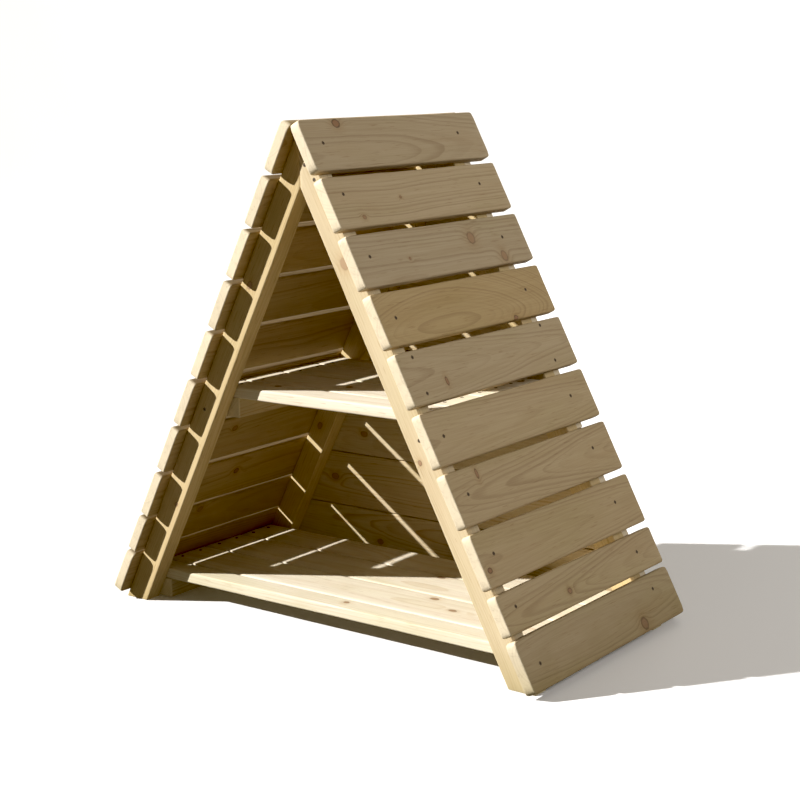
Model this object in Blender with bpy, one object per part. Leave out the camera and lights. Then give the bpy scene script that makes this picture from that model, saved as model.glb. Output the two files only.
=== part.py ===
"""Small timber A-frame den: two slatted sloping sides on a front and a back pair of leaning rails,
a boarded back wall, a low floor deck and one shelf halfway up. Nothing moves.

Frame: +Z up, ground at z = 0, the open front faces -Y, ridge along Y, middle of the footprint at the origin.
Every piece is a length of sawn softwood, so every piece here is a flat outline in XZ pushed along Y."""

import math

import bmesh
import bpy

# Overall
LEAN = math.radians(27.4)  # each side, from the vertical
HEIGHT = 0.9537  # ground to the top corners of the cladding
DEPTH = 0.530  # length of the cladding boards
HALF_RIDGE = 0.0181  # middle of the ridge to a top corner of the cladding
CLEAR = 0.0003  # left between neighbouring pieces

# Boards
BOARD_WIDTH = 0.0985
BOARD_THICK = 0.021
EASE = 0.004  # rounding of the board edges
RIGHT_PITCH = 0.1103
LEFT_PITCH = 0.1086
FULL_BOARDS = 8
RIGHT_FOOT = ((0.882, 0.073), (0.963, 0.095))  # the two lowest boards: top edge and width
LEFT_FOOT = ((0.865, 0.0805), (0.951, 0.097))

# Rails of the two A-frames
RAIL_WIDTH = 0.050  # square to the slope
RAIL_DEPTH = 0.035  # along Y
FRONT_RAIL = -DEPTH / 2 + 0.0265  # front face of the front rails
BACK_RAIL = -DEPTH / 2 + 0.434  # front face of the back rails

# Floor deck and shelf, boards side to side
DECK_TOP = 0.0630
SHELF_TOP = 0.4530
DECK_Y = ((0.0620, 0.1095), (0.1135, 0.2195), (0.2235, 0.3295), (0.3335, 0.4285))
SHELF_Y = ((0.0620, 0.1235), (0.1275, 0.2335), (0.2375, 0.3435), (0.3475, 0.4310))
SIDE_PLAY = 0.002  # board end to cladding

# Bearers, laid flat between the front and back rails
BEARER_HIGH = 0.038
BEARER_WIDE = 0.063
BEARER_STEP = 0.0125  # inner side of a bearer, measured in from the rails at the bearer's top

# Back wall, on the rear faces of the back rails
WALL_FOOT = 0.0070
WALL_PITCH = 0.1168
WALL_JOINT = 0.0012
WALL_BOARDS = 8

SIN, COS = math.sin(LEAN), math.cos(LEAN)


def on_slope(side, along, inward):
    """XZ of the point this far down the slope from its top edge and this far inside its outer face."""
    x = HALF_RIDGE + along * SIN - inward * COS
    return side * x, HEIGHT - along * COS - inward * SIN


def half_width(z, inward):
    """How far from the middle the plane this far inside the slope's outer face stands, at height z."""
    along = (HEIGHT - z - inward * SIN) / COS
    return HALF_RIDGE + along * SIN - inward * COS


def wood(name, colour):
    material = bpy.data.materials.new("wood_" + name)
    material.use_nodes = True
    shader = material.node_tree.nodes["Principled BSDF"]
    shader.inputs["Base Color"].default_value = (*colour, 1.0)
    shader.inputs["Roughness"].default_value = 0.75
    material.diffuse_color = (*colour, 1.0)
    return material


def piece(name, outline, front, back, ease, colour):
    """One timber: the XZ outline pushed from Y = front to Y = back, its edges rounded by ease."""
    mesh = bpy.data.meshes.new(name)
    shape = bmesh.new()
    near = [shape.verts.new((x, front, z)) for x, z in outline]
    far = [shape.verts.new((x, back, z)) for x, z in outline]
    count = len(outline)
    shape.faces.new(near)
    shape.faces.new(far[::-1])
    for i in range(count):
        j = (i + 1) % count
        shape.faces.new((near[j], near[i], far[i], far[j]))
    bmesh.ops.recalc_face_normals(shape, faces=shape.faces)
    shape.to_mesh(mesh)
    shape.free()
    thing = bpy.data.objects.new(name, mesh)
    bpy.context.scene.collection.objects.link(thing)
    mesh.materials.append(wood(name, colour))
    edge = thing.modifiers.new("eased_edges", "BEVEL")
    edge.width = ease
    edge.segments = 2
    edge.limit_method = "NONE"
    return thing


def cladding(label, side, pitch, foot, colour):
    """The ten boards of one slope, numbered from the ridge down."""
    boards = [(number * pitch, BOARD_WIDTH) for number in range(FULL_BOARDS)] + list(foot)
    for number, (top, width) in enumerate(boards, 1):
        corners = ((top, 0.0), (top + width, 0.0), (top + width, BOARD_THICK), (top, BOARD_THICK))
        outline = [on_slope(side, along, inward) for along, inward in corners]
        piece(f"{label}_board_{number:02d}", outline, -DEPTH / 2, DEPTH / 2, EASE, colour)


def rail(label, side, front, colour):
    """One leaning rail, cut plumb where it meets its twin under the ridge and level on the ground."""
    outer = BOARD_THICK + CLEAR
    inner = BOARD_THICK + RAIL_WIDTH
    outline = []
    for inward, x in ((outer, CLEAR), (inner, CLEAR)):
        along = (x - HALF_RIDGE + inward * COS) / SIN
        outline.append(on_slope(side, along, inward))
    outline.append((side * half_width(0.0, inner), 0.0))
    outline.append((side * half_width(0.0, outer), 0.0))
    piece(label, outline, front, front + RAIL_DEPTH, 0.002, colour)


def level_board(label, bottom, top, front, back, colour):
    """A board lying or standing side to side, its ends cut to the slope of the cladding."""
    low = half_width(bottom, BOARD_THICK) - SIDE_PLAY
    high = half_width(top, BOARD_THICK) - SIDE_PLAY
    outline = [(-low, bottom), (low, bottom), (high, top), (-high, top)]
    piece(label, outline, front, back, 0.002, colour)


def planks(label, top, bands, colour):
    """Deck or shelf, from just behind the front rails to the back rails. The front plank is ripped."""
    for number, (front, back) in enumerate(bands, 1):
        y = -DEPTH / 2
        level_board(f"{label}_{number}", top - BOARD_THICK, top, y + front, y + back, colour)


def bearer(label, side, top, colour):
    """Batten under the board ends, butted between the front and the back rail."""
    inner = half_width(top, BOARD_THICK + RAIL_WIDTH) - BEARER_STEP
    outer = inner + BEARER_WIDE
    outline = [(side * x, z) for x, z in ((inner, top), (outer, top), (outer, top - BEARER_HIGH))]
    outline.append((side * inner, top - BEARER_HIGH))
    piece(label, outline, FRONT_RAIL + RAIL_DEPTH + CLEAR, BACK_RAIL - CLEAR, 0.002, colour)


def back_wall(colour):
    """Horizontal boards stacked from the ground to the ridge, each cut to the slope at both ends."""
    front = BACK_RAIL + RAIL_DEPTH + CLEAR
    for number in range(1, WALL_BOARDS + 1):
        bottom = WALL_FOOT + (number - 1) * WALL_PITCH
        top = bottom + WALL_PITCH - WALL_JOINT
        if number == WALL_BOARDS:
            top = HEIGHT - 0.040
        level_board(f"wall_board_{number}", bottom, top, front, front + BOARD_THICK, colour)


for thing in list(bpy.data.objects):
    bpy.data.objects.remove(thing, do_unlink=True)

PALE, HONEY, BROWN = (0.52, 0.40, 0.24), (0.60, 0.43, 0.23), (0.44, 0.31, 0.17)
cladding("right", 1, RIGHT_PITCH, RIGHT_FOOT, PALE)
cladding("left", -1, LEFT_PITCH, LEFT_FOOT, PALE)
rail("front_rail_right", 1, FRONT_RAIL, HONEY)
rail("front_rail_left", -1, FRONT_RAIL, HONEY)
rail("back_rail_right", 1, BACK_RAIL, HONEY)
rail("back_rail_left", -1, BACK_RAIL, HONEY)
bearer("floor_bearer_right", 1, DECK_TOP - BOARD_THICK - CLEAR, BROWN)
bearer("floor_bearer_left", -1, DECK_TOP - BOARD_THICK - CLEAR, BROWN)
bearer("shelf_bearer_right", 1, SHELF_TOP - BOARD_THICK - CLEAR, BROWN)
bearer("shelf_bearer_left", -1, SHELF_TOP - BOARD_THICK - CLEAR, BROWN)
planks("deck_board", DECK_TOP, DECK_Y, BROWN)
planks("shelf_board", SHELF_TOP, SHELF_Y, BROWN)
back_wall(BROWN)
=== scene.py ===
"""Small softwood A-frame den: planed and eased boards with growth rings, knots and end grain, screwed to
two pairs of leaning rails. Runs in Blender 4.5 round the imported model, in metres, with +Z up."""

import math

import bpy
import numpy as np
from mathutils import Matrix, Vector


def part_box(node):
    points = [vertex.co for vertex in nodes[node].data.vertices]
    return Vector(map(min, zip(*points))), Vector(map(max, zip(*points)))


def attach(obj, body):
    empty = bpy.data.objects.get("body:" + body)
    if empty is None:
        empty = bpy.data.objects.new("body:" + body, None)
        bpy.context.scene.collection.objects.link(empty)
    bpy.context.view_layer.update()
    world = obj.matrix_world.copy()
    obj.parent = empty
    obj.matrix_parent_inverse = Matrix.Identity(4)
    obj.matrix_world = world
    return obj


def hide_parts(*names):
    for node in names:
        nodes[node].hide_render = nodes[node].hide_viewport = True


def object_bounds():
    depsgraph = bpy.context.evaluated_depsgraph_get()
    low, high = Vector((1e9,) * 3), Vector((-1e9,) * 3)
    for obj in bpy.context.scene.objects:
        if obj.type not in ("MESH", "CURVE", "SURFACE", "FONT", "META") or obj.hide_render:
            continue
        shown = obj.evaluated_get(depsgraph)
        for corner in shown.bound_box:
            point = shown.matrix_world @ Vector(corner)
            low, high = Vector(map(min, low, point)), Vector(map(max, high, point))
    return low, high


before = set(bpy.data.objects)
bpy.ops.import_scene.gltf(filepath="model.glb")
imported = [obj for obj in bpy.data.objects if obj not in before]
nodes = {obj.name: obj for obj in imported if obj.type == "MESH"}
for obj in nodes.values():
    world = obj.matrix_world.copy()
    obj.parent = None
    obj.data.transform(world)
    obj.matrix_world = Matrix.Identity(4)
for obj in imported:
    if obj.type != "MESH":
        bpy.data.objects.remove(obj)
cad_low, cad_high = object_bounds()

# ---------------------------------------------------------------------------------------------------
# Studio. A pale floor that rises gently all round, a sun on the left in front of the open end, a soft
# fill on the right slope, a weaker one behind and faint light all round, so that the right slope lies
# in shade, the sun falls on the open front and its light comes in thin lines through the left slope.

CAMERA_AT = (1.897, -2.4588, 1.0232)
CAMERA_YAW, CAMERA_PITCH, CAMERA_ROLL = 0.649, 0.1933, -0.0156
AIM = Vector((0.0, 0.0, 0.45))  # middle of the object, which the lights face

lens = bpy.data.cameras.new("camera")
lens.lens = 74.3
lens.sensor_width = 36.0
camera = bpy.data.objects.new("camera", lens)
bpy.context.scene.collection.objects.link(camera)
bpy.context.scene.camera = camera
turn = Matrix.Rotation(CAMERA_YAW, 4, "Z")
tilt = Matrix.Rotation(math.pi / 2 - CAMERA_PITCH, 4, "X")
roll = Matrix.Rotation(CAMERA_ROLL, 4, "Z")
camera.matrix_world = Matrix.Translation(CAMERA_AT) @ turn @ tilt @ roll


def lamp(name, kind, place, strength, colour):
    """A light at place that faces AIM, left out of the camera's own view."""
    light = bpy.data.lights.new(name, kind)
    light.energy = strength
    light.color = colour
    holder = bpy.data.objects.new(name, light)
    bpy.context.scene.collection.objects.link(holder)
    holder.location = place
    holder.visible_camera = False
    holder.rotation_euler = (Vector(place) - AIM).to_track_quat("Z", "Y").to_euler()
    return light


key = lamp("key_light", "SUN", (-5.332, -4.372, 4.326), 7.5, (1.0, 0.98, 0.94))
key.angle = math.radians(1.0)
fill = lamp("fill_light", "AREA", (3.8, 0.6, 2.4), 90.0, (1.0, 0.985, 0.97))
fill.shape, fill.size = "DISK", 3.0
rear = lamp("rear_light", "AREA", (-0.8, 4.2, 2.0), 42.0, (1.0, 0.97, 0.93))
rear.shape, rear.size = "DISK", 2.5

world = bpy.data.worlds.new("studio")
world.use_nodes = True
around = world.node_tree.nodes["Background"]
around.inputs["Color"].default_value = (1.0, 0.85, 0.58, 1.0)
around.inputs["Strength"].default_value = 0.16
bpy.context.scene.world = world
view = bpy.context.scene.view_settings
view.view_transform = "Standard"
view.use_curve_mapping = True
view.curve_mapping.black_level = (0.016, 0.016, 0.016)


def sweep_floor():
    """The floor as a shallow bowl round the object. Its profile is flat, then an arc, then straight on up
    at the same slope, turned once round Z: x = out cos(turn), y = out sin(turn), z = up."""
    radius, flat, rise, run = 6.0, 3.0, math.radians(12.0), 24.0
    angle = np.linspace(0.0, rise, 17)
    out = np.concatenate([[0.1], flat + radius * np.sin(angle)])
    up = np.concatenate([[0.0], radius - radius * np.cos(angle)])
    out = np.append(out, out[-1] + run * math.cos(rise))
    up = np.append(up, up[-1] + run * math.sin(rise))
    turn = np.linspace(0.0, 2.0 * math.pi, 96, endpoint=False)[:, None]
    points = np.stack([out * np.cos(turn), out * np.sin(turn), up + 0 * turn], -1)
    grid = np.arange(turn.size * out.size).reshape(turn.size, out.size)
    beside = np.roll(grid, -1, 0)
    faces = np.stack([grid[:, :-1], grid[:, 1:], beside[:, 1:], beside[:, :-1]], -1).reshape(-1, 4)
    mesh = bpy.data.meshes.new("floor")
    mesh.from_pydata(points.reshape(-1, 3).tolist(), [], faces.tolist() + [grid[:, 0].tolist()])
    mesh.polygons.foreach_set("use_smooth", np.ones(len(mesh.polygons), bool))
    floor = bpy.data.objects.new("floor", mesh)
    bpy.context.scene.collection.objects.link(floor)
    pale = bpy.data.materials.new("studio_floor")
    pale.use_nodes = True
    shader = pale.node_tree.nodes["Principled BSDF"]
    shader.inputs["Base Color"].default_value = (0.88, 0.885, 0.91, 1.0)
    shader.inputs["Roughness"].default_value = 0.9
    mesh.materials.append(pale)
    # Its glare is kept off the undersides and the inside
    floor.visible_diffuse = False
    return floor


sweep_floor()

# ---------------------------------------------------------------------------------------------------
# Rails. Four lengths of 50 x 35 softwood, cut plumb at the ridge where each pair meets and level at the
# foot. They are the frame that everything else is screwed to, so the shape and the wood start here.

LEAN = math.radians(27.4)
SIN, COS = math.sin(LEAN), math.cos(LEAN)
CORNER_STEPS = 5  # points on each rounded edge
FACE_STEPS = 9  # points across each face, between its corners
RIM_STEPS = 5  # points on the quarter circle that eases an end's rim
END_RINGS = np.array([0.0, 0.3, 0.62, 0.86])  # rings that close an end, as shares of its rim
STATION_GAP = 0.014
MOST_KNOTS = 3
NO_KNOT = (99.0, 99.0, 0.01, 0.01, 0.0)  # a knot too far off to show


def span(node, axis):
    """Lowest and highest distance of the node's corners along a unit axis."""
    points = np.array([corner.co for corner in nodes[node].data.vertices])
    reach = points @ np.array(axis)
    return reach.min(), reach.max()


def section(half_wide, half_thick, radius):
    """Rounded rectangle, counter-clockwise from the side facing +v: round each corner
    v = centre + radius cos(angle) and w = centre + radius sin(angle), then straight on to the next.
    The three inputs are columns, one value for each station along the timber."""
    arc = np.linspace(0.0, math.pi / 2, CORNER_STEPS)
    straight = np.linspace(0.0, 1.0, FACE_STEPS + 2)[1:-1]
    corners = ((1, 1), (-1, 1), (-1, -1), (1, -1))
    v, w = [], []
    for number, (side_v, side_w) in enumerate(corners):
        next_v, next_w = corners[(number + 1) % 4]
        angle = arc + number * math.pi / 2
        v.append(side_v * (half_wide - radius) + radius * np.cos(angle))
        w.append(side_w * (half_thick - radius) + radius * np.sin(angle))
        from_v, from_w = v[-1][:, -1:], w[-1][:, -1:]
        to_v = next_v * (half_wide - radius) + radius * math.cos(angle[-1])
        to_w = next_w * (half_thick - radius) + radius * math.sin(angle[-1])
        v.append(from_v + (to_v - from_v) * straight)
        w.append(from_w + (to_w - from_w) * straight)
    return np.hstack(v), np.hstack(w)


def wander(t, rng, waves=(1.0, 2.3, 4.1)):
    """Slow random curve between about -1 and 1: the sum of sin(2 pi f t + phase) / order, over 1.8."""
    total = 0.0
    for order, (f, phase) in enumerate(zip(waves, rng.uniform(0.0, 2.0 * math.pi, len(waves))), 1):
        total = total + np.sin(2.0 * math.pi * f * t + phase) / order
    return total / 1.8


def timber(
    node,
    along,
    across,
    cuts,
    seed,
    pith,
    taper=(0.0, 0.0, 0.0),
    knots=(),
    ease=0.0035,
    plan_corner=0.002,
    light=1.0,
    warm=0.0,
):
    """One length of wood in place of a CAD node. Its rounded section is carried along the axis `along`
    and ends on the two planes whose outward normals are `cuts`. Near an end the section shrinks by a
    quarter circle, so the end's rim is eased too, and then closes in rings on the middle of the end.
    Each knot is (distance along, distance across, half length, half width, depth of colour).
    It also stores, for the wood: `grain` (distance along, and across and deep from the pith), `growth`
    (how far the rings lean out: slope x + bend (x - crown)^2), `knot_0` to `knot_2` (steps from each
    knot, in its half sizes, and its depth of colour) and `look` (lightness, warmth, and 1 on end
    grain). A pair for `warm` gives each wide face its own, first the one facing against along x across."""
    rng = np.random.default_rng(seed)
    a, c = np.array(along, float), np.array(across, float)
    k = np.cross(a, c)
    v_low, v_high = span(node, c)
    w_low, w_high = span(node, k)
    half_wide, half_thick = (v_high - v_low) / 2, (w_high - w_low) / 2
    start, stop = (np.array(cut, float) for cut in cuts)
    start_at, stop_at = span(node, start)[1], span(node, stop)[1]
    length = span(node, a)[1] - span(node, a)[0]

    # Stations: the start's closing rings and quarter circle, the length, then the same at the stop
    quarter = np.linspace(0.0, math.pi / 2, RIM_STEPS)
    rim = min(ease * 0.7, 0.0022)
    cap = len(END_RINGS) + RIM_STEPS
    middle = np.linspace(0.0, 1.0, max(8, round(length / STATION_GAP)))[1:-1]

    def column(cap_values, between):
        """A value for each station: the start's cap, one value all along, and the cap mirrored."""
        return np.concatenate([cap_values, between + 0 * middle, cap_values[::-1]])[:, None]

    inset = column(np.append(rim + 0 * END_RINGS, rim * (1 - np.sin(quarter))), 0.0)
    depth = column(np.append(0 * END_RINGS, rim * (1 - np.cos(quarter))), 0.0)
    shrink = column(np.append(END_RINGS, np.ones(RIM_STEPS)), 1.0)
    t = np.concatenate([np.zeros(cap), middle, np.ones(cap)])[:, None]
    rounding = ease * (1.0 + 0.22 * wander(t * length / 0.5, rng)) - inset * 0.8
    v, w = section(half_wide - inset, half_thick - inset, rounding)
    v, w = v * shrink, w * shrink

    # Plan corners: the end draws back by a quarter circle towards the two narrow sides
    past = np.clip(np.abs(v) - (half_wide - plan_corner), 0.0, plan_corner)
    back = plan_corner - np.sqrt(np.maximum(plan_corner**2 - past**2, 0.0))
    absolute_v, absolute_w = v + (v_low + v_high) / 2, w + (w_low + w_high) / 2
    lateral = absolute_v[..., None] * c + absolute_w[..., None] * k
    first = (start_at - lateral @ start) / (a @ start) + depth + back
    last = (stop_at - lateral @ stop) / (a @ stop) - depth - back
    low, high = first[cap - 1], last[-cap]
    u = np.where(t <= 0.0, first, np.where(t >= 1.0, last, low + (high - low) * t))

    # Real boards are never quite flat: a slight bow and cup, and a little wander in the sawn width
    bow = 0.0003 * wander(t * 0.6, rng, (1.0, 1.7)) * np.minimum(1.0, length / 0.4)
    cup = -0.0003 * (v / half_wide) ** 2 * rng.uniform(0.2, 1.0)
    absolute_v = absolute_v + v / half_wide * 0.00025 * wander(t * length / 0.3, rng) * shrink
    place = u[..., None] * a + absolute_v[..., None] * c + (absolute_w + bow + cup)[..., None] * k

    # Skin: quads between the stations, and a fan of triangles from the middle of each end
    rows, columns = u.shape
    poles = np.array([place[0].mean(axis=0), place[-1].mean(axis=0)])
    grid = np.arange((rows - 2) * columns).reshape(rows - 2, columns)
    here, there = grid[:-1], grid[1:]
    quads = np.stack([here, np.roll(here, -1, 1), np.roll(there, -1, 1), there], -1).reshape(-1, 4)
    start_pole, stop_pole = np.full(columns, grid.size), np.full(columns, grid.size + 1)
    start_fan = np.stack([start_pole, np.roll(grid[0], -1), grid[0]], -1)
    stop_fan = np.stack([stop_pole, grid[-1], np.roll(grid[-1], -1)], -1)
    mesh = bpy.data.meshes.new(node)
    points = np.vstack([place[1:-1].reshape(-1, 3), poles])
    mesh.from_pydata(points.tolist(), [], quads.tolist() + start_fan.tolist() + stop_fan.tolist())
    mesh.polygons.foreach_set("use_smooth", np.ones(len(mesh.polygons), bool))

    def stored(values):
        """A value for each grid point, and for the two poles that of the ring round them."""
        return np.concatenate([values[1:-1].reshape(-1), [values[1].mean(), values[-2].mean()]])

    from_start = u - low.min()
    seeded = rng.uniform(0.0, 40.0)
    slope, bend, crown = taper
    growth = slope * from_start + bend * (from_start - crown) ** 2
    end = np.clip((rim * 1.02 - (u - first + depth)) / rim, 0.0, 1.0)
    end = np.maximum(end, np.clip((rim * 1.02 - (last + depth - u)) / rim, 0.0, 1.0))
    end = np.where((t <= 0.0) | (t >= 1.0), np.where(shrink < 1.0, 1.0, end), 0.0)
    grain = (from_start + seeded, v - pith[0], w - pith[1])
    first_warm, second_warm = np.broadcast_to(warm, 2)
    warmth = first_warm + (second_warm - first_warm) * np.clip(0.5 + w / half_thick / 2, 0.0, 1.0)
    look = (0 * u + light, warmth, end)
    layers = [("grain", grain), ("look", look)]
    for number in range(MOST_KNOTS):
        knot_u, knot_v, half_u, half_v, dark = knots[number] if number < len(knots) else NO_KNOT
        steps = ((from_start - knot_u) / half_u, (v + half_wide - knot_v) / half_v)
        layers.append((f"knot_{number}", (*steps, 0 * u + dark)))
    for name, parts in layers:
        values = np.stack([stored(part) for part in parts], -1)
        mesh.attributes.new(name, "FLOAT_VECTOR", "POINT").data.foreach_set("vector", values.ravel())
    mesh.attributes.new("growth", "FLOAT", "POINT").data.foreach_set("value", stored(growth))

    piece = bpy.data.objects.new(node + "_wood", mesh)
    bpy.context.scene.collection.objects.link(piece)
    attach(piece, "root")
    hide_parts(node)
    return piece


class Shade:
    """One socket of a material. Arithmetic between shades and numbers adds Math nodes."""

    def __init__(self, tree, socket=None):
        self.tree, self.socket = tree, socket

    def node(self, kind, settings, values, output=0):
        """Adds a node: its settings first, then a number, a vector or another shade for each socket."""
        made = self.tree.nodes.new(kind)
        for key, value in settings.items():
            setattr(made, key, value)
        for key, value in values.items():
            if isinstance(value, Shade):
                self.tree.links.new(value.socket, made.inputs[key])
            else:
                made.inputs[key].default_value = value
        return Shade(self.tree, made.outputs[output])

    def math(self, operation, *values):
        return self.node("ShaderNodeMath", {"operation": operation}, dict(enumerate(values)))

    def __add__(self, other):
        return self.math("ADD", self, other)

    def __sub__(self, other):
        return self.math("SUBTRACT", self, other)

    def __rsub__(self, other):
        return self.math("SUBTRACT", other, self)

    def __mul__(self, other):
        return self.math("MULTIPLY", self, other)

    def __truediv__(self, other):
        return self.math("DIVIDE", self, other)

    def __rtruediv__(self, other):
        return self.math("DIVIDE", other, self)

    def __pow__(self, other):
        return self.math("POWER", self, other)

    __radd__, __rmul__ = __add__, __mul__


def softwood(name, pale, line, ring_gap, line_depth, sheen):
    """Pressure-treated softwood, cut out of a log. A point's year is its distance from the pith, pushed
    about by noise, by the log's taper and by knots, over ring_gap. Each ring darkens slowly through its
    year and ends sharply. Fibres, treatment stain, knots, end grain and darker, greener feet are laid over
    that."""
    material = bpy.data.materials.new(name)
    material.use_nodes = True
    tree = material.node_tree
    shade = Shade(tree)

    def attribute(title, output="Vector"):
        return shade.node("ShaderNodeAttribute", {"attribute_name": title}, {}, output)

    def parts(vector):
        split = tree.nodes.new("ShaderNodeSeparateXYZ")
        tree.links.new(vector.socket, split.inputs[0])
        return [Shade(tree, socket) for socket in split.outputs]

    def stretched(vector, scale, rough=0.5, detail=3.0):
        """Noise from 0 to 1, at its own number of cycles a metre along each axis."""
        scaled = shade.node(
            "ShaderNodeVectorMath", {"operation": "MULTIPLY"}, {0: vector, 1: scale}
        )
        values = {"Vector": scaled, "Scale": 1.0, "Detail": detail, "Roughness": rough}
        return shade.node("ShaderNodeTexNoise", {}, values)

    def streaks(value, scale):
        """Noise from 0 to 1 over a single value."""
        values = {"W": value, "Scale": scale, "Detail": 2.0}
        return shade.node("ShaderNodeTexNoise", {"noise_dimensions": "1D"}, values)

    def step(value, low, high):
        """0 below low, 1 above high, smooth between."""
        return shade.node(
            "ShaderNodeMapRange",
            {"interpolation_type": "SMOOTHSTEP"},
            {"Value": value, "From Min": low, "From Max": high},
        )

    def mix(factor, first, second, blend="MIX"):
        """The first colour, blended towards the second by factor."""
        settings = {"data_type": "RGBA", "blend_type": blend, "clamp_factor": True}
        values = {0: factor, 6: first, 7: second}
        for key in (6, 7):
            if isinstance(values[key], tuple):
                values[key] = (*values[key], 1.0)
        return shade.node("ShaderNodeMix", settings, values, 2)

    grain = attribute("grain")
    along, across, deep = parts(grain)
    lightness, warmth, end = parts(attribute("look"))

    # Knots: distance from the nearest in its half sizes, a little out of round, and its depth of colour
    spots = []
    for number in range(MOST_KNOTS):
        knot_along, knot_across, dark = parts(attribute(f"knot_{number}"))
        distance = (knot_along * knot_along + knot_across * knot_across) ** 0.5
        spots.append((distance, dark * (1.0 - step(distance, 1.3, 1.7))))
    away, knot_dark = spots[0]
    for distance, dark in spots[1:]:
        away = shade.math("MINIMUM", away, distance)
        knot_dark = shade.math("MAXIMUM", knot_dark, dark)
    away = away + (stretched(grain, (160.0, 160.0, 160.0)) - 0.5) * 0.35
    heart = 1.0 - step(away, 0.80, 1.05)
    halo = shade.math("EXPONENT", away * away * -0.28)

    # Growth rings: distances in metres, moved about by 11 mm and by 2 mm, and pushed out by knots
    radius = (across * across + deep * deep) ** 0.5
    sway = (stretched(grain, (2.6, 7.0, 7.0), detail=1.0) - 0.5) * 0.022
    ripple = (stretched(grain, (11.0, 45.0, 45.0), detail=2.0) - 0.5) * 0.0032
    radius = radius + attribute("growth", "Fac") + sway + ripple + halo * 0.010
    uneven = shade.node(
        "ShaderNodeTexNoise", {"noise_dimensions": "1D"}, {"W": radius, "Scale": 70.0, "Detail": 1.0}
    )
    year = shade.math("FRACT", radius / ring_gap + uneven * 1.6)
    late = step(year, 0.42, 0.92) * (1.0 - step(year, 0.93, 1.0))
    late = late * (0.25 + step(uneven, 0.40, 0.62))

    # Fibres, flecks and stain
    fibre = stretched(grain, (9.0, 520.0, 520.0), detail=2.0)
    broad = stretched(grain, (2.4, 60.0, 60.0), detail=2.0)
    fleck = step(stretched(grain, (26.0, 380.0, 380.0), detail=1.0), 0.66, 0.74)
    stain = step(stretched(grain, (3.2, 13.0, 13.0), detail=3.0), 0.42, 0.72)
    stretch_mark = step(stretched(grain, (5.0, 24.0, 24.0), detail=4.0), 0.50, 0.74)

    wood = mix(late * line_depth, pale, line)
    wood = mix(stain * 0.34, wood, (0.86, 0.90, 0.72), "MULTIPLY")
    wood = mix(stretch_mark * 0.30, wood, (0.90, 0.82, 0.74), "MULTIPLY")
    wood = mix((broad - 0.5) * 0.9 + 0.25, wood, (0.84, 0.80, 0.74), "MULTIPLY")
    wood = mix((fibre - 0.5) * 1.1 + 0.3, wood, (0.80, 0.76, 0.70), "MULTIPLY")
    wood = mix(fleck * 0.35, wood, (0.55, 0.42, 0.30), "MULTIPLY")
    # Warmth from `look` varies from board to board; where a piece or face stands in shade it is raised as
    # painted shade.
    wood = mix(warmth, wood, (1.0, 0.90, 0.66), "MULTIPLY")
    wood = mix(0.0 - warmth, wood, (0.96, 0.97, 1.0), "MULTIPLY")

    # Knots over the wood: brown, ringed, with a dark rim and a stained halo
    turns = shade.math("SINE", away * 24.0) * 0.5 + 0.5
    knot_wood = mix(turns * 0.6 + fibre * 0.3, (0.30, 0.150, 0.070), (0.17, 0.080, 0.036))
    knot_wood = mix(knot_dark, (0.40, 0.275, 0.160), knot_wood)
    wood = mix(halo * 0.50, wood, (0.74, 0.58, 0.42), "MULTIPLY")
    wood = mix(heart * 0.92, wood, knot_wood)
    rim = step(away, 0.66, 0.92) * (1.0 - step(away, 0.98, 1.22)) * knot_dark
    wood = mix(rim * 0.75, wood, (0.055, 0.030, 0.016))

    # End grain is paler and duller, with fainter rings and fine checks running out from the pith
    bearing = shade.math("ARCTAN2", across, deep)
    check = step(streaks(bearing, 120.0), 0.63, 0.72) * step(stretched(grain, (1.0, 90.0, 90.0)), 0.45, 0.6)
    wood = mix(end * 0.70, wood, (0.86, 0.765, 0.585))
    wood = mix(end * late * 0.10, wood, line)
    wood = mix(end * check * 0.35, wood, (0.50, 0.40, 0.28), "MULTIPLY")

    # Darker and greener towards the ground
    place = shade.node("ShaderNodeTexCoord", {}, {}, "Object")
    height = parts(place)[2]
    near_ground = 1.0 - step(height + (stretched(place, (9.0, 9.0, 9.0)) - 0.5) * 0.09, -0.005, 0.085)
    wood = mix(near_ground * 0.55, wood, (0.66, 0.64, 0.46), "MULTIPLY")
    value = shade.node("ShaderNodeVectorMath", {"operation": "SCALE"}, {0: wood, 3: lightness})

    shader = tree.nodes["Principled BSDF"]
    tree.links.new(value.socket, shader.inputs["Base Color"])
    rough = 0.80 - late * sheen + (fibre - 0.5) * 0.16 - heart * 0.15 + end * 0.08
    tree.links.new(rough.socket, shader.inputs["Roughness"])
    relief = late * (1.0 - end) * 0.25 + fibre * 0.30 + broad * 0.25 - fleck * 0.25
    relief = relief + heart * 0.5 - rim * 0.6 - end * check * 1.2
    bump = shade.node("ShaderNodeBump", {}, {"Strength": 0.55, "Distance": 0.0006, "Height": relief})
    tree.links.new(bump.socket, shader.inputs["Normal"])
    return material


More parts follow.
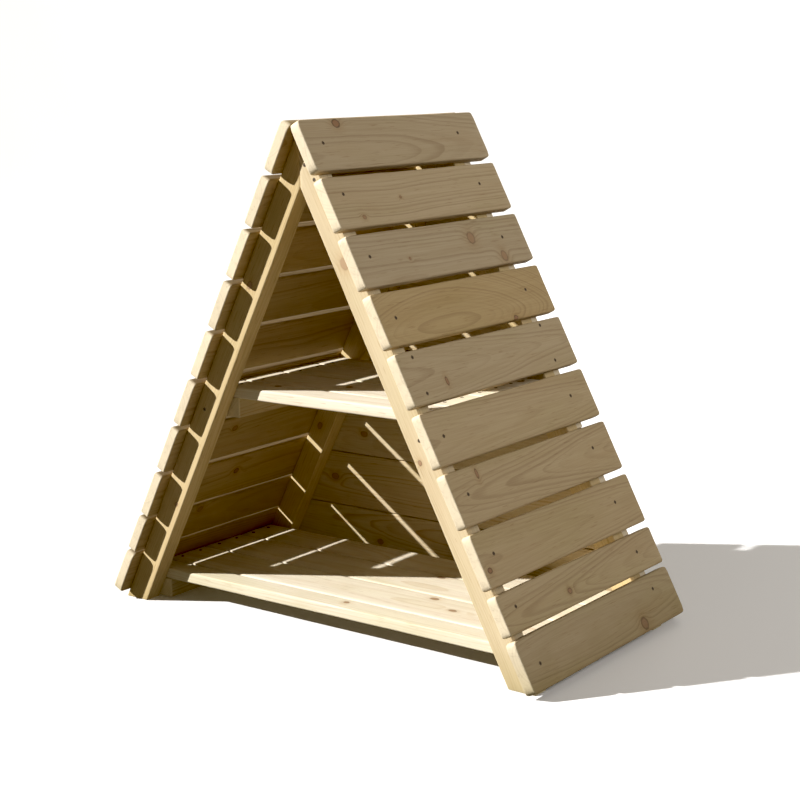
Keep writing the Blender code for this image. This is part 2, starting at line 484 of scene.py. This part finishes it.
rail_wood = softwood("rail_wood", (0.64, 0.54, 0.365), (0.50, 0.38, 0.20), 0.0042, 0.34, 0.10)
RAIL_KNOTS = {
    "front_rail_right": ((0.250, 0.026, 0.012, 0.009, 0.15), (0.62, 0.012, 0.005, 0.004, 0.6)),
    "front_rail_left": ((0.31, 0.030, 0.008, 0.006, 0.4), (0.80, 0.014, 0.005, 0.004, 0.5)),
    "back_rail_right": ((0.71, 0.030, 0.008, 0.006, 0.4), (0.60, 0.014, 0.005, 0.004, 0.5)),
    "back_rail_left": ((0.71, 0.030, 0.008, 0.006, 0.4), (0.60, 0.014, 0.005, 0.004, 0.5)),
}
for number, (label, side) in enumerate((("right", 1), ("left", -1))):
    for place, row in (("front", 0), ("back", 1)):
        node = f"{place}_rail_{label}"
        # The rails that stand in shade, all but the sunlit front right one, are made warmer: painted shade.
        piece = timber(
            node,
            (side * SIN, 0.0, -COS),
            (side * COS, 0.0, SIN),
            ((-side, 0.0, 0.0), (0.0, 0.0, -1.0)),
            seed=11 + number + 2 * row,
            pith=(0.055, -0.030 - 0.02 * row),
            taper=(0.012, 0.0, 0.0),
            knots=RAIL_KNOTS[node],
            ease=0.0022,
            warm=0.0 if node == "front_rail_right" else 0.6,
        )
        piece.data.materials.append(rail_wood)

# ---------------------------------------------------------------------------------------------------
# Cladding. Ten planed boards just under 100 x 21 on each slope, their edges and corners rounded over,
# screwed flat across the rails with gaps between. The two at the foot are cut to end at the ground.

slope_wood = softwood("slope_wood", (0.49, 0.395, 0.265), (0.30, 0.21, 0.12), 0.0066, 0.46, 0.08)
# Lightness and warmth of each board's outer face, from the ridge down
RIGHT_LOOK = (
    (0.98, -0.10), (1.03, 0.10), (0.97, -0.45), (0.98, 0.75), (0.96, 0.10),
    (0.97, 0.25), (0.94, 0.30), (0.93, 0.35), (0.92, 0.25), (0.83, 0.15),
)
RIGHT_KNOTS = {
    1: ((0.098, 0.011, 0.010, 0.008, 0.85),),
    2: ((0.071, 0.081, 0.005, 0.004, 0.6), (0.194, 0.051, 0.003, 0.003, 0.7)),
    3: (
        (0.352, 0.037, 0.011, 0.012, 0.45),
        (0.434, 0.082, 0.009, 0.011, 0.45),
        (0.148, 0.058, 0.003, 0.003, 0.7),
    ),
    4: ((0.388, 0.096, 0.006, 0.006, 0.95),),
    5: ((0.109, 0.068, 0.004, 0.008, 0.8),),
    7: ((0.084, 0.017, 0.004, 0.009, 0.75),),
    8: ((0.014, 0.068, 0.006, 0.005, 0.9),),
    9: ((0.205, 0.046, 0.006, 0.005, 0.75),),
    10: ((0.384, 0.078, 0.011, 0.011, 0.65),),
}
# Pith across and deep from the middle of the board, then the rings' lean and bend along it
RIGHT_PITH = (
    (0.02, -0.060), (-0.07, -0.050), (0.05, -0.060), (0.030, -0.030), (-0.004, -0.030),
    (0.006, -0.034), (0.004, -0.030), (0.000, -0.034), (0.010, -0.030), (-0.010, -0.045),
)
RIGHT_TAPER = (
    (0.02, 0.10, 0.08), (0.01, 0.0, 0.0), (0.015, 0.0, 0.0), (0.0, 0.75, 0.19), (0.075, 0.0, 0.0),
    (0.055, 0.0, 0.0), (-0.075, 0.0, 0.0), (0.05, 0.0, 0.0), (-0.08, 0.0, 0.0), (0.03, 0.12, 0.36),
)
BOARDS = range(1, 11)
OUTER_CORNER, INNER_CORNER = 0.010, 0.006  # a board's corners at the ridge and foot, and between
INNER_SHADE_WARM = 0.7  # the inner faces are made warmer: painted shade for the warm shade inside
rng = np.random.default_rng(2024)
for label, side in (("right", 1), ("left", -1)):
    for number in BOARDS:
        light, outer_warm = RIGHT_LOOK[number - 1]
        warm = (outer_warm, INNER_SHADE_WARM)
        pith, taper = RIGHT_PITH[number - 1], RIGHT_TAPER[number - 1]
        knots = RIGHT_KNOTS.get(number, ())
        if side < 0:
            # On the left the first of the pair is the inner face, so its warmer colour there is painted
            # shade.
            light, warm = rng.uniform(0.88, 1.00), (rng.uniform(0.6, 1.0), 0.15)
            pith = (rng.uniform(-0.05, 0.05), rng.uniform(0.028, 0.060))
            taper = (rng.uniform(-0.07, 0.07), 0.0, 0.0)
            knot_at = (rng.uniform(0.06, 0.46), rng.uniform(0.01, 0.08))
            knots = ((*knot_at, 0.007, 0.006, rng.uniform(0.4, 0.9)),)
        piece = timber(
            f"{label}_board_{number:02d}",
            (0.0, 1.0, 0.0),
            (side * SIN, 0.0, -COS),
            ((0.0, -1.0, 0.0), (0.0, 1.0, 0.0)),
            seed=100 + number + 20 * side,
            pith=pith,
            taper=taper,
            knots=knots,
            ease=0.0042,
            plan_corner=OUTER_CORNER if number in (1, 10) else INNER_CORNER,
            light=light,
            warm=warm,
        )
        piece.data.materials.append(slope_wood)

# ---------------------------------------------------------------------------------------------------
# Bearers. Four short battens between the front and back rails, one under each end of the deck and of
# the shelf, which carry the boards.

inner_wood = softwood("inner_wood", (0.61, 0.53, 0.40), (0.42, 0.29, 0.16), 0.0050, 0.50, 0.08)
for number, (level, label, side) in enumerate(
    (("floor", "right", 1), ("floor", "left", -1), ("shelf", "right", 1), ("shelf", "left", -1))
):
    piece = timber(
        f"{level}_bearer_{label}",
        (0.0, 1.0, 0.0),
        (float(side), 0.0, 0.0),
        ((0.0, -1.0, 0.0), (0.0, 1.0, 0.0)),
        seed=200 + number,
        pith=(0.04, 0.05),
        taper=(0.01, 0.0, 0.0),
        ease=0.0020,
        light=0.98,
        warm=0.4,
    )
    piece.data.materials.append(inner_wood)

# ---------------------------------------------------------------------------------------------------
# Deck and shelf. Four boards each, side to side, screwed down to the bearers. The front one is ripped
# narrow and starts just behind the front rails, and its long front edge is what the open end shows.

level_wood = softwood("level_wood", (0.82, 0.77, 0.67), (0.64, 0.52, 0.35), 0.0055, 0.36, 0.08)
DECK_KNOTS = {
    1: ((0.493, 0.030, 0.006, 0.005, 0.5),),
    2: ((0.617, 0.088, 0.010, 0.006, 0.4), (0.685, 0.050, 0.009, 0.005, 0.5)),
    3: ((0.549, 0.095, 0.009, 0.006, 0.6),),
}
for level, first_seed in (("deck", 305), ("shelf", 303)):
    for number in range(1, 5):
        knots = ((0.12 * number, 0.05, 0.007, 0.006, 0.6),)
        if level == "deck":
            knots = DECK_KNOTS.get(number, ())
        piece = timber(
            f"{level}_board_{number}",
            (1.0, 0.0, 0.0),
            (0.0, 1.0, 0.0),
            ((-COS, 0.0, SIN), (COS, 0.0, SIN)),
            seed=first_seed + number,
            pith=(rng.uniform(-0.03, 0.03), -0.032 - 0.01 * number),
            taper=(rng.uniform(-0.05, 0.05), 0.0, 0.0),
            knots=knots,
            ease=0.0030,
            light=1.0,
            warm=0.1,
        )
        piece.data.materials.append(level_wood)

# ---------------------------------------------------------------------------------------------------
# Back wall. Eight boards stacked edge to edge on the rear faces of the back rails, from the ground to
# the ridge, cut to the slope at both ends.

WALL_KNOTS = {
    1: ((0.30, 0.05, 0.008, 0.006, 0.35),),
    2: ((0.12, 0.06, 0.010, 0.007, 0.40), (0.60, 0.03, 0.007, 0.005, 0.35)),
    3: ((0.14, 0.045, 0.009, 0.006, 0.45), (0.47, 0.08, 0.008, 0.006, 0.35)),
    4: ((0.11, 0.05, 0.008, 0.006, 0.40),),
    5: ((0.30, 0.06, 0.008, 0.006, 0.35),),
}
for number in range(1, 9):
    piece = timber(
        f"wall_board_{number}",
        (1.0, 0.0, 0.0),
        (0.0, 0.0, 1.0),
        ((-COS, 0.0, SIN), (COS, 0.0, SIN)),
        seed=400 + number,
        pith=(rng.uniform(-0.03, 0.03), rng.uniform(0.03, 0.05)),
        taper=(rng.uniform(-0.06, 0.06), 0.0, 0.0),
        knots=WALL_KNOTS.get(number, ()),
        ease=0.0022,
        light=rng.uniform(0.93, 1.03),
        warm=rng.uniform(0.3, 0.7),
    )
    piece.data.materials.append(inner_wood)

# ---------------------------------------------------------------------------------------------------
# Screws. Countersunk coated steel screws with a cross recess, driven flush. Each slope board has one over
# each rail, and the fifth has two. The other boards have two in each end, but the narrow front ones have
# one and the top wall board none. Four more join the front rails at the ridge and to the shelf bearers.

HEAD = 0.0037  # radius
HEAD_TURNS = 24
HEAD_RADII = (0.12, 0.26, 0.42, 0.56, 0.68, 0.84, 0.95, 1.0, 1.0, 0.5)  # in head radii
HEAD_LIFTS = (0.34, 0.34, 0.33, 0.31, 0.29, 0.24, 0.13, -0.10, -2.6, -2.6)  # in millimetres
RECESS_DEPTH = 0.00022


def screw_heads(name, places):
    """Heads as one mesh, one for each (wood, place, outward, turn), seated on the wood's own surface.
    Over a head, height is a shallow dome with a rounded rim; the cross recess drops it where either
    arm's half width is not reached and the radius is short of the arm's end. Below the rim the side
    runs straight down into the wood to a closed bottom. `recess` is 1 inside the cross."""
    angle = np.linspace(0.0, 2 * math.pi, HEAD_TURNS, endpoint=False)
    radius = HEAD * np.array(HEAD_RADII)[:, None]
    x, y = radius * np.cos(angle), radius * np.sin(angle)
    arm = np.minimum(np.abs(x), np.abs(y)) < HEAD * 0.15
    recess = np.where(arm & (radius < HEAD * 0.62), 1.0, 0.0)
    top = 0.001 * np.array(HEAD_LIFTS)[:, None] - recess * RECESS_DEPTH
    grid = np.arange(x.size).reshape(x.shape)
    near, far = grid[:-1], grid[1:]
    quads = np.stack([near, far, np.roll(far, -1, 1), np.roll(near, -1, 1)], -1).reshape(-1, 4)
    middle_fan = np.stack([np.full(HEAD_TURNS, x.size), grid[0], np.roll(grid[0], -1)], -1)
    bottom_fan = np.stack([np.full(HEAD_TURNS, x.size + 1), np.roll(grid[-1], -1), grid[-1]], -1)
    points, faces = [], []
    for index, (wood, at, out, turned) in enumerate(places):
        at = np.array(bpy.data.objects[wood + "_wood"].closest_point_on_mesh(Vector(at))[1])
        out = np.array(out, float)
        side = np.cross(out, (0.0, 0.0, 1.0) if abs(out[2]) < 0.9 else (1.0, 0.0, 0.0))
        side /= np.linalg.norm(side)
        right = side * math.cos(turned) + np.cross(out, side) * math.sin(turned)
        left = np.cross(out, right)
        rings = at + x[..., None] * right + y[..., None] * left + top[..., None] * out
        middle, bottom = at + out * 0.00012, at - out * 0.0026
        points.append(np.vstack([rings.reshape(-1, 3), middle, bottom]))
        base = index * (x.size + 2)
        faces += (quads + base).tolist() + (middle_fan + base).tolist() + (bottom_fan + base).tolist()
    mesh = bpy.data.meshes.new(name)
    mesh.from_pydata(np.vstack(points).tolist(), [], faces)
    mesh.materials.append(screw_steel)
    one_head = np.append(recess, (1.0, 0.0))
    recesses = mesh.attributes.new("recess", "FLOAT", "POINT")
    recesses.data.foreach_set("value", np.tile(one_head, len(places)))
    piece = bpy.data.objects.new(name, mesh)
    bpy.context.scene.collection.objects.link(piece)
    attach(piece, "root")
    return piece


def coated_steel():
    """Dark bronze corrosion coating on steel, dulled, and mottled between a darker and a lighter bronze."""
    material = bpy.data.materials.new("coated_steel")
    material.use_nodes = True
    tree = material.node_tree
    shade = Shade(tree)
    place = shade.node("ShaderNodeTexCoord", {}, {}, "Object")
    cloud = shade.node("ShaderNodeTexNoise", {}, {"Vector": place, "Scale": 900.0, "Detail": 3.0})
    recess = shade.node("ShaderNodeAttribute", {"attribute_name": "recess"}, {}, "Fac")
    mixing = {"data_type": "RGBA"}
    coats = {0: cloud, 6: (0.085, 0.058, 0.036, 1.0), 7: (0.170, 0.125, 0.080, 1.0)}
    colour = shade.node("ShaderNodeMix", mixing, coats, 2)
    # The cross recess is darker: painted shade.
    recess_shade = {0: recess, 6: colour, 7: (0.030, 0.021, 0.014, 1.0)}
    colour = shade.node("ShaderNodeMix", mixing, recess_shade, 2)
    shader = tree.nodes["Principled BSDF"]
    shader.inputs["Metallic"].default_value = 0.35
    tree.links.new(colour.socket, shader.inputs["Base Color"])
    tree.links.new((0.55 + cloud * 0.3).socket, shader.inputs["Roughness"])
    return material


screw_steel = coated_steel()
near_end = cad_low[1]
# Share of the board's width from its top edge, and distance from its near end
SLOPE_SCREWS = {
    2: ((0.37, 0.043), (0.40, 0.456)),
    5: ((0.12, 0.043), (0.83, 0.043), (0.12, 0.455), (0.83, 0.456)),
    9: ((0.39, 0.044), (0.45, 0.455)),
    10: ((0.55, 0.044), (0.32, 0.456)),
}
OTHER_SCREWS = ((0.47, 0.043), (0.46, 0.456))
for label, side in (("right", 1), ("left", -1)):
    out, down = np.array((side * COS, 0.0, SIN)), np.array((side * SIN, 0.0, -COS))
    places = []
    for number in BOARDS:
        node = f"{label}_board_{number:02d}"
        top, foot = span(node, down)
        face = span(node, out)[1]
        for share, reach in SLOPE_SCREWS.get(number, OTHER_SCREWS):
            share += rng.uniform(-0.03, 0.03)
            at = out * face + down * (top + (foot - top) * share)
            at = at + np.array((0.0, near_end + reach + rng.uniform(-0.002, 0.002), 0.0))
            places.append((node, at, out, rng.uniform(0.0, 1.6)))
    screw_heads(f"{label}_slope_screws", places)

WALL_EDGE = 0.030  # screw to the slope's edge, level
wall_places = []
for number in range(1, 8):
    low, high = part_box(f"wall_board_{number}")
    for share in (0.25, 0.75):
        height = low[2] + (high[2] - low[2]) * share
        reach = (cad_high[2] - height) * math.tan(LEAN) - WALL_EDGE
        for side in (1, -1):
            at = (side * reach, high[1], height)
            wall_places.append((f"wall_board_{number}", at, (0.0, 1.0, 0.0), rng.uniform(0.0, 1.6)))
screw_heads("wall_screws", wall_places)

for level, under, inset in (("deck", "floor", 0.042), ("shelf", "shelf", 0.020)):
    places = []
    for number in range(1, 5):
        low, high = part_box(f"{level}_board_{number}")
        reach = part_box(f"{under}_bearer_right")[0][0] + inset
        for side in (1, -1):
            for share in ((0.5,) if number == 1 else (0.25, 0.75)):
                y = low[1] + (high[1] - low[1]) * share
                at = (side * reach, y, high[2])
                places.append((f"{level}_board_{number}", at, (0.0, 0.0, 1.0), rng.uniform(0.0, 1.6)))
    screw_heads(f"{level}_screws", places)

front_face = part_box("front_rail_right")[0][1]
# X and Z of the two screws that join the front rails at the ridge and of one into each shelf bearer's end
RAIL_SCREWS = ((0.0325, 0.8495), (0.0115, 0.8745), (0.2525, 0.4105), (-0.2525, 0.4105))
places = []
for x, z in RAIL_SCREWS:
    rail = "front_rail_right" if x > 0 else "front_rail_left"
    places.append((rail, (x, front_face, z), (0.0, -1.0, 0.0), 0.4 + 5 * x))
screw_heads("rail_screws", places)
